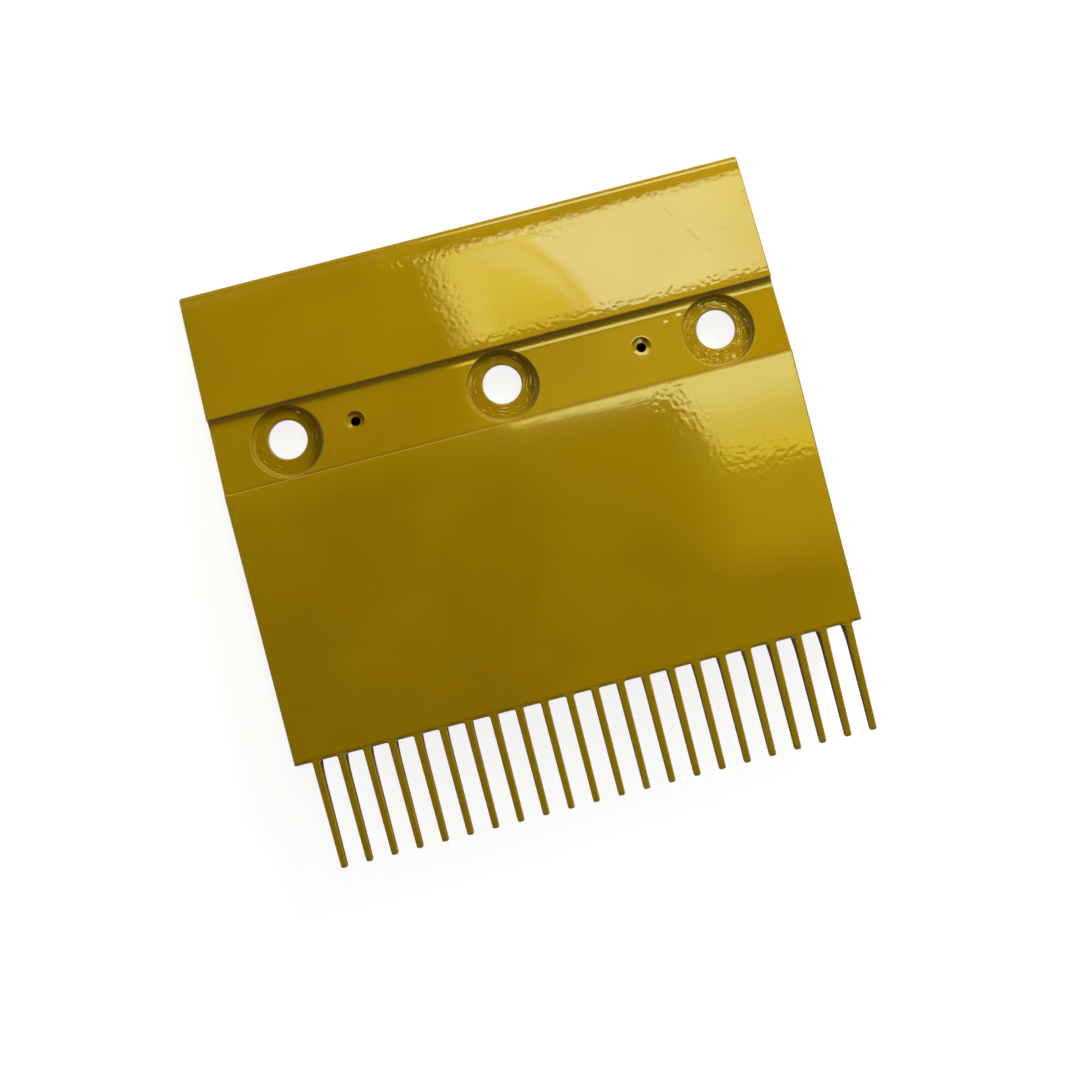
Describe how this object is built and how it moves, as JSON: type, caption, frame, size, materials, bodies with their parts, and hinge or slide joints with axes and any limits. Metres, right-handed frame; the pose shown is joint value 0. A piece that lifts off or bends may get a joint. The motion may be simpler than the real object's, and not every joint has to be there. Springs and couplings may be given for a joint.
{
  "type": "escalator comb plate",
  "caption": "Yellow painted cast comb plate segment with a toothed front edge, a sloping ramp, a channel with counterbored fixing holes and a rear deck.",
  "frame": {"origin": "axis of the middle fixing hole, in the plane of the underside seat", "axes": "+X across the escalator to the right, +Y to the rear deck, +Z along the fixing screws, square to the ramp; the teeth point along -Y"},
  "size_m": [0.203, 0.2074, 0.0205],
  "materials": {
    "yellow_paint": "glossy safety-yellow powder coat with fine orange peel on die-cast aluminium",
    "underside_paint": "thinner, duller coat of the same yellow over the cast underside"
  },
  "bodies": {
    "root": {"front_ramp": "yellow_paint", "fastening_channel": "yellow_paint", "rear_deck": "yellow_paint", "tooth_01": "yellow_paint", "tooth_02": "yellow_paint", "tooth_03": "yellow_paint", "tooth_04": "yellow_paint", "tooth_05": "yellow_paint", "tooth_06": "yellow_paint", "tooth_07": "yellow_paint", "tooth_08": "yellow_paint", "tooth_09": "yellow_paint", "tooth_10": "yellow_paint", "tooth_11": "yellow_paint", "tooth_12": "yellow_paint", "tooth_13": "yellow_paint", "tooth_14": "yellow_paint", "tooth_15": "yellow_paint", "tooth_16": "yellow_paint", "tooth_17": "yellow_paint", "tooth_18": "yellow_paint", "tooth_19": "yellow_paint", "tooth_20": "yellow_paint", "tooth_21": "yellow_paint", "tooth_22": "yellow_paint", "cross_wall": "underside_paint", "left_wall": "underside_paint", "right_wall": "underside_paint", "stiffener_1": "underside_paint", "stiffener_2": "underside_paint", "stiffener_3": "underside_paint", "stiffener_4": "underside_paint", "stiffener_5": "underside_paint"}
  },
  "joints": []
}
